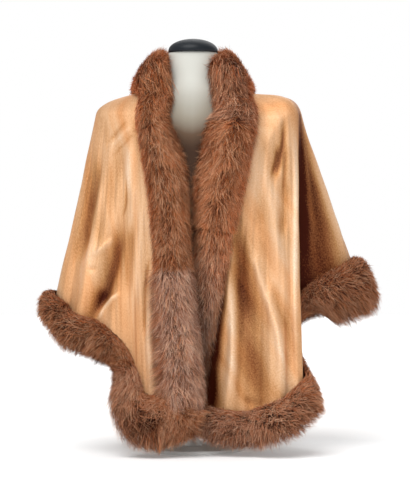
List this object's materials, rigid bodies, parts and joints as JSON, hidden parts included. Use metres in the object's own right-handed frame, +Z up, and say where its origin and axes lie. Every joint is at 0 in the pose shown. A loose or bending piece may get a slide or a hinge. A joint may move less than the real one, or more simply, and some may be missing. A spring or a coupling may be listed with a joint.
{
  "type": "fur-trimmed cape on dress form",
  "caption": "Open-front cape (poncho-style wrap) of thin cloth, edged all round with long fur, draped on a limbless dress form that stands on a round base.",
  "frame": {"origin": "middle of the base plate's underside", "axes": "+Z up, from the base plate to the neck cap; -Y toward the front opening of the cape; +X toward the wearer's left (right of the picture)"},
  "size_m": [0.7201, 0.3765, 0.862],
  "materials": {
    "cloth": "satin-faced golden tan cloth with a soft sheen along its folds",
    "fur_red_brown": "long reddish brown fur, dark at the roots",
    "fur_grey_brown": "long fur, greyish brown with pale tips",
    "form_cover": "off-white close-fitting cover",
    "neck_cap": "smooth blue-black",
    "stand": "white paint"
  },
  "bodies": {
    "root": {"left_front": "cloth", "back": "cloth", "right_front": "cloth", "fur_collar": "fur_red_brown", "left_band_upper": "fur_red_brown", "left_band_lower": "fur_grey_brown", "right_band_upper": "fur_red_brown", "right_band_lower": "fur_grey_brown", "left_front_hem_fur": "fur_red_brown", "left_sleeve_hem_fur": "fur_red_brown", "back_hem_fur": "fur_red_brown", "right_sleeve_hem_fur": "fur_red_brown", "right_front_hem_fur": "fur_red_brown", "dress_form": "form_cover", "neck_cap": "neck_cap", "stand_post": "stand", "stand_base": "stand"}
  },
  "joints": []
}
